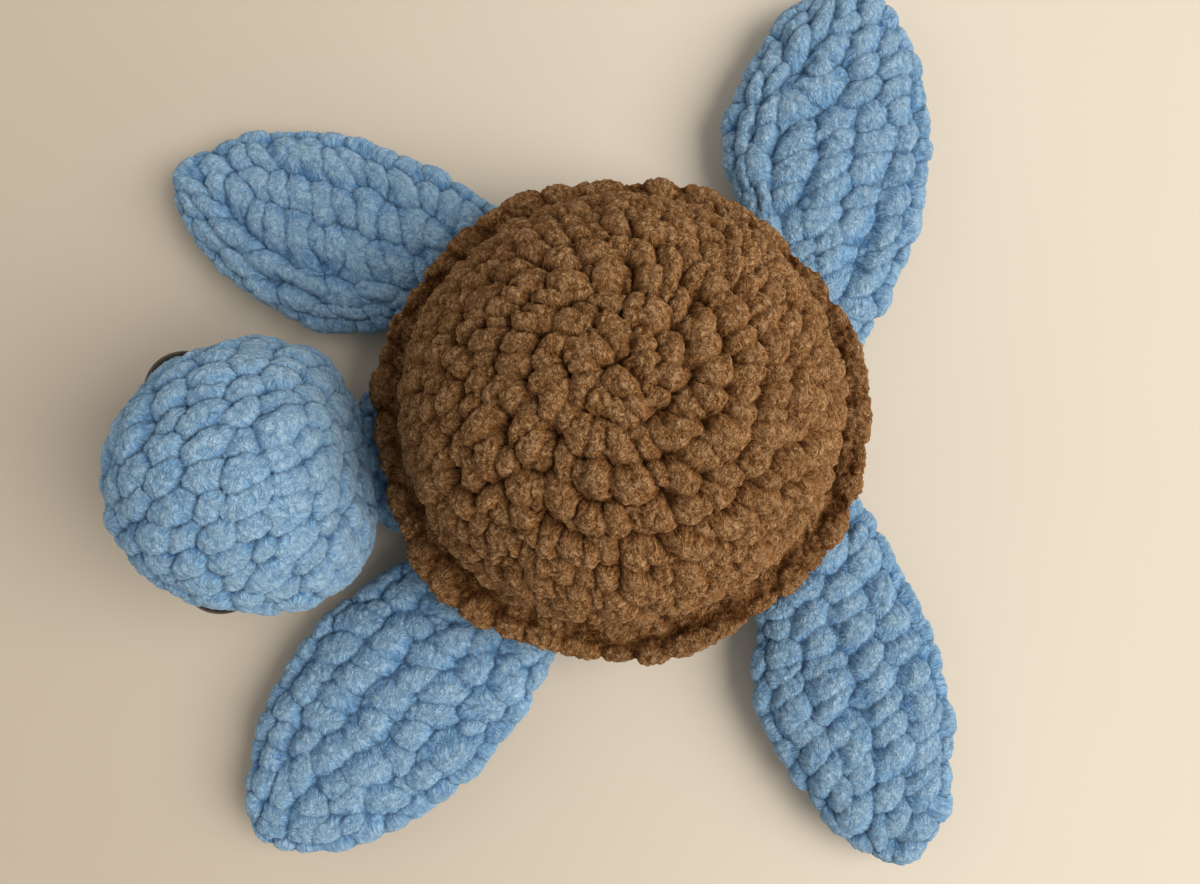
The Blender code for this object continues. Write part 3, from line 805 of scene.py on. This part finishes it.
def flipperSkin(corner, own):
    # share runs from root to tip, side from -1 to 1 across, face is 1 on top and -1 below
    hinge, axes = flipperFrame(corner)
    lean = math.radians(own["seat"] - own["pointing"])
    length = own["length"] - flipper["inset"]
    sink = hinge[2] - flipper["lift"] - flipper["thickness"] / 2
    halfWide, halfThick = own["width"] / 2 - flipper["inset"], flipper["thickness"] / 2 - flipper["inset"]
    rootThick = flipper["rootThickness"] / flipper["thickness"]
    rootPart = flipper["rootPart"]

    def spine(share):
        settled = np.minimum(share / flipper["settle"], 1) ** 2
        straight = lean * np.minimum(share / flipper["straighten"], 1)
        middle = np.stack([length * share * math.cos(lean), length * share * math.sin(lean),
                           -sink * settled], -1)
        across = np.stack([-np.sin(straight), np.cos(straight), np.zeros_like(straight)], -1)
        wide = halfWide * swell(share, flipper["rootWidth"], flipper["tipWidthPower"])
        thick = halfThick * swell(share, rootThick, flipper["tipThicknessPower"])
        return middle, across, wide, thick

    def skin(share, side, face):
        middle, across, wide, thick = spine(share)
        at = middle + across * (wide * side)[:, None]
        at[:, 2] += thick * face * np.sqrt(np.maximum(1 - side**2, 0))
        return at @ axes + hinge

    def place(unit):
        turn = np.arccos(np.clip(-unit[:, 2], -1, 1)) / math.pi
        around = np.arctan2(unit[:, 1], unit[:, 0])
        roll = math.pi / 2 * np.clip(turn / rootPart, 0, 1)
        share = np.sin(math.pi / 2 * np.clip((turn - rootPart) / (1 - rootPart), 0, 1))
        middle, across, wide, thick = spine(share)
        atRoot = turn < rootPart
        wide = np.where(atRoot, wide - thick * (1 - np.sin(roll)), wide)
        back = np.where(atRoot, thick * np.cos(roll), 0)
        high = np.where(atRoot, thick * np.sin(roll), thick)
        pole = np.abs(unit[:, 2]) > 1 - 1e-6
        wide, high = np.where(pole, 0, wide), np.where(pole, 0, high)
        at = middle + across * (wide * np.cos(around))[:, None]
        # the root is sewn on, so it presses into the belly a little
        at[:, 0] -= back * flipper["rootPress"]
        at[:, 2] += high * np.sin(around)
        return at @ axes + hinge

    return skin, spine, place


def flipperStitches(skin, spine, own, chance):
    sets = []
    look = dict(flipper, **own)
    alongCount = round(own["length"] / own["stitchPitch"])
    for face in (1, -1):
        shares, sides = [], []
        for step in range(alongCount):
            share = (step + 0.5) / alongCount
            wide = spine(np.array([share]))[2][0]
            low = -wide + flipper["margin"]
            high = wide - flipper["strandMargin" if own["strands"] else "margin"]
            columns = max(1, round((high - low) / own["columnPitch"]))
            for column in range(columns):
                across = low + (high - low) * (column + 0.5) / columns
                shares.append(share + 0.5 * (column % 2) / alongCount)
                sides.append(np.clip(across / wide, -0.97, 0.97))
        share, side = np.clip(np.array(shares), 0.01, 0.985), np.array(sides)
        centre = skin(share, side, face)
        along = unitRows(skin(np.minimum(share + 1e-3, 0.999), side, face) - skin(share - 1e-3, side, face))
        across = -unitRows(skin(share, side + 1e-3, face) - centre) * face
        across = unitRows(across - along * (across * along).sum(1, keepdims=True))
        outward = np.cross(along, across) * -1
        outward = outward * np.sign(outward[:, 2] * face)[:, None]
        turnedLook = dict(look, slant=own["slant"] + own["slantChange"] * share)
        sets.append(stitchSet(centre, across, outward, turnedLook, chance))
    # the chain that closes the edge all the way round
    line = np.linspace(0.02, 1, 400)
    edge = np.concatenate([skin(line, np.ones(400), 1), skin(line[::-1], -np.ones(400), 1)])
    lengths = np.concatenate([[0], np.cumsum(np.linalg.norm(np.diff(edge, axis=0), axis=1))])
    count = round(lengths[-1] / spacing["edgePitch"])
    at = (np.arange(count) + 0.5) / count * lengths[-1]
    centre = np.stack([np.interp(at, lengths, edge[:, axis]) for axis in range(3)], -1)
    ahead = np.stack([np.interp(at + 0.0005, lengths, edge[:, axis]) for axis in range(3)], -1)
    along = unitRows(ahead - centre)
    outward = unitRows(np.cross(along, np.array([0, 0, 1.0])))
    middle = spine(np.array([0.5]))[0]
    hinge, axes = flipperFrame(own["corner"])
    core = middle @ axes + hinge
    outward = outward * np.sign(((centre - core) * outward).sum(1))[:, None]
    up = np.tile(np.array([0, 0, 1.0]), (count, 1))
    sets.append(stitchSet(centre, up, outward, dict(look, **edgeChain), chance))
    # long strands beside one edge, where the two layers are drawn together
    for strand in range(own["strands"]):
        inFrom = spacing["strandIn"] + spacing["strandApart"] * strand
        count = round(own["length"] / spacing["strandPitch"])
        share = np.clip((np.arange(count) + 0.5 + 0.4 * strand) / count, 0.02, 0.93)
        wide = spine(share)[2]
        side = 1 - inFrom / np.maximum(wide, inFrom)
        for face in (1, -1):
            centre = skin(share, side, face)
            along = unitRows(skin(share + 1e-3, side, face) - centre)
            outward = unitRows(np.cross(along, skin(share, side + 1e-3, face) - centre))
            outward = outward * np.sign(outward[:, 2] * face)[:, None]
            across = np.cross(outward, along)
            sets.append(stitchSet(centre, across, outward, dict(look, **longStrand), chance))
    return joinSets(*sets)


def makeFlipper(corner, own):
    own = dict(own, corner=corner)
    skin, spine, place = flipperSkin(corner, own)
    chance = np.random.default_rng(own["seed"])
    form = addForm("crocheted" + corner.title().replace("_", "") + "Flipper", place, 48, 64)
    hinge = flipperFrame(corner)[0]
    puffUp(form, 2.0, 0.0010, lambda at: np.linalg.norm(at - hinge, axis=1) < 0.02)
    fineMesh(form, flipper["voxel"])
    crochet(form, flipperStitches(skin, spine, own, chance), dict(flipper, **own), floor=0.0004)
    finishCrochet(form, blueChenille, corner + "_flipper", corner + "_flipper")


for corner, own in flippers.items():
    makeFlipper(corner, own)


# What is inside: filling, and the washers behind the eyes

filling = dict(voxel=0.0016, smoothing=4, clump=0.006, relief=0.0010, crest=0.3)


def makeFilling(node, body, drawnIn=0.0006):
    # carded fibre pushed in by hand, in soft clumps that stay a little inside the cover
    deselectAll()
    form = bpy.data.objects.new(node + "_fibre", frame["nodes"][node].data.copy())
    bpy.context.scene.collection.objects.link(form)
    form.data.materials.clear()
    weld = form.modifiers.new("weld", "WELD")
    weld.merge_threshold = 0.00001
    fineMesh(form, filling["voxel"], filling["smoothing"])
    points, normals = pointsOf(form), normalsOf(form)
    clumps = np.array([noise.fractal(Vector(p), 1.0, 2.0, 3) for p in points / filling["clump"]])
    rise = np.minimum(clumps, filling["crest"]) * filling["relief"] - drawnIn
    movePoints(form, points + normals * rise[:, None])
    form.data.materials.append(fibreFilling)
    pickOnly(form)
    bpy.ops.object.shade_smooth()
    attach(form, body)
    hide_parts(node)


makeFilling("body_stuffing", "body", 0.0034)
makeFilling("head_stuffing", "head")
for corner in flippers:
    makeFilling(corner + "_flipper_wad", corner + "_flipper")
for name, material in {"eye": acrylicEye, "eye_washer": polypropyleneWasher}.items():
    for side in ("right_", "left_"):
        node = frame["nodes"][side + name]
        node.data.materials.clear()
        node.data.materials.append(material)
print("turtle: filling, eyes and washers ready")


# Floor and light

floor = dict(size=6.0, bright="#dad0c1", dim="#bfb2a1", dimSide=-0.20, brightSide=0.13,
             lampPool=0.33, poolReach=1.2)
lights = dict(key=dict(place=(0.50, 1.22, 1.28), size=1.5, power=44, colour="#fffaf2"),
              fill=dict(place=(-0.45, -1.20, 0.46), size=1.2, power=3.5, colour="#fffaf2"))
sky = dict(colour="#f4f2ee", low=0.68, high=0.30, seen="#e6dccd", seenStrength=0.95)

deselectAll()
bpy.ops.mesh.primitive_plane_add(size=floor["size"], location=(0, 0, 0))
table = bpy.context.object
table.name = "paleTable"
laminate, tree, shader, own = newMaterial("paleMattLaminate")
# painted daylight: the table's colour is dimmer on the far side, as if daylight came from one side
place = addNode(tree, "SeparateXYZ", {0: own})
daylight = addNode(tree, "MapRange", {"Value": place.outputs["Y"], "From Min": floor["dimSide"],
                                      "From Max": floor["brightSide"], "To Max": 0.85},
                   interpolation_type="SMOOTHSTEP")
mottle = addNode(tree, "TexNoise", {"Vector": own, "Scale": 9.0, "Detail": 3.0})
share = addNode(tree, "Math", {0: mottle, 1: 0.15, 2: daylight}, operation="MULTIPLY_ADD")
pale = addRamp(tree, share, floor["dim"], floor["bright"])
# painted shade: straight under the lamp the table's colour is toned down, so it stays below white
underLamp = (*lights["key"]["place"][:2], 0)
fromLamp = addNode(tree, "VectorMath", {0: own, 1: underLamp}, operation="DISTANCE")
pool = addNode(tree, "MapRange", {"Value": fromLamp.outputs["Value"], "From Max": floor["poolReach"],
                                  "To Min": floor["lampPool"]}, interpolation_type="SMOOTHSTEP")
toned = addNode(tree, "HueSaturation", {"Color": pale, "Value": pool})
feed(tree, shader, {"Base Color": toned, "Roughness": 0.85, "Specular IOR Level": 0.2})
table.data.materials.append(laminate)

for name, light in lights.items():
    lamp = bpy.data.lights.new(name + "Softbox", "AREA")
    lamp.shape = "SQUARE"
    lamp.size = light["size"]
    lamp.energy = light["power"]
    lamp.color = linear(light["colour"])[:3]
    holder = bpy.data.objects.new(name + "Softbox", lamp)
    bpy.context.scene.collection.objects.link(holder)
    holder.location = light["place"]
    holder.rotation_mode = "QUATERNION"
    holder.rotation_quaternion = (-Vector(light["place"])).to_track_quat("-Z", "Y")

world = bpy.data.worlds.new("studio")
bpy.context.scene.world = world
world.use_nodes = True
tree = world.node_tree
tree.nodes.clear()
ray = addNode(tree, "LightPath", {})
seen = addNode(tree, "Math", {0: ray.outputs["Is Camera Ray"], 1: ray.outputs["Is Glossy Ray"]},
               operation="MAXIMUM")
seenToo = addNode(tree, "Math", {0: seen, 1: ray.outputs["Is Transmission Ray"]}, operation="MAXIMUM")
# the room's walls are brighter than its ceiling
upwards = addNode(tree, "SeparateXYZ", {0: addNode(tree, "TexCoord", {}).outputs["Generated"]})
glow = addNode(tree, "MapRange", {"Value": upwards.outputs["Z"], "To Min": sky["low"], "To Max": sky["high"]})
around = addNode(tree, "Background", {"Color": linear(sky["colour"]), "Strength": glow})
behind = addNode(tree, "Background", {"Color": linear(sky["seen"]), "Strength": sky["seenStrength"]})
both = addNode(tree, "MixShader", {0: seenToo, 1: around, 2: behind})
addNode(tree, "OutputWorld", {"Surface": both})
bpy.context.scene.view_settings.view_transform = "Standard"
print("turtle: floor and light ready")


print("turtle: done")
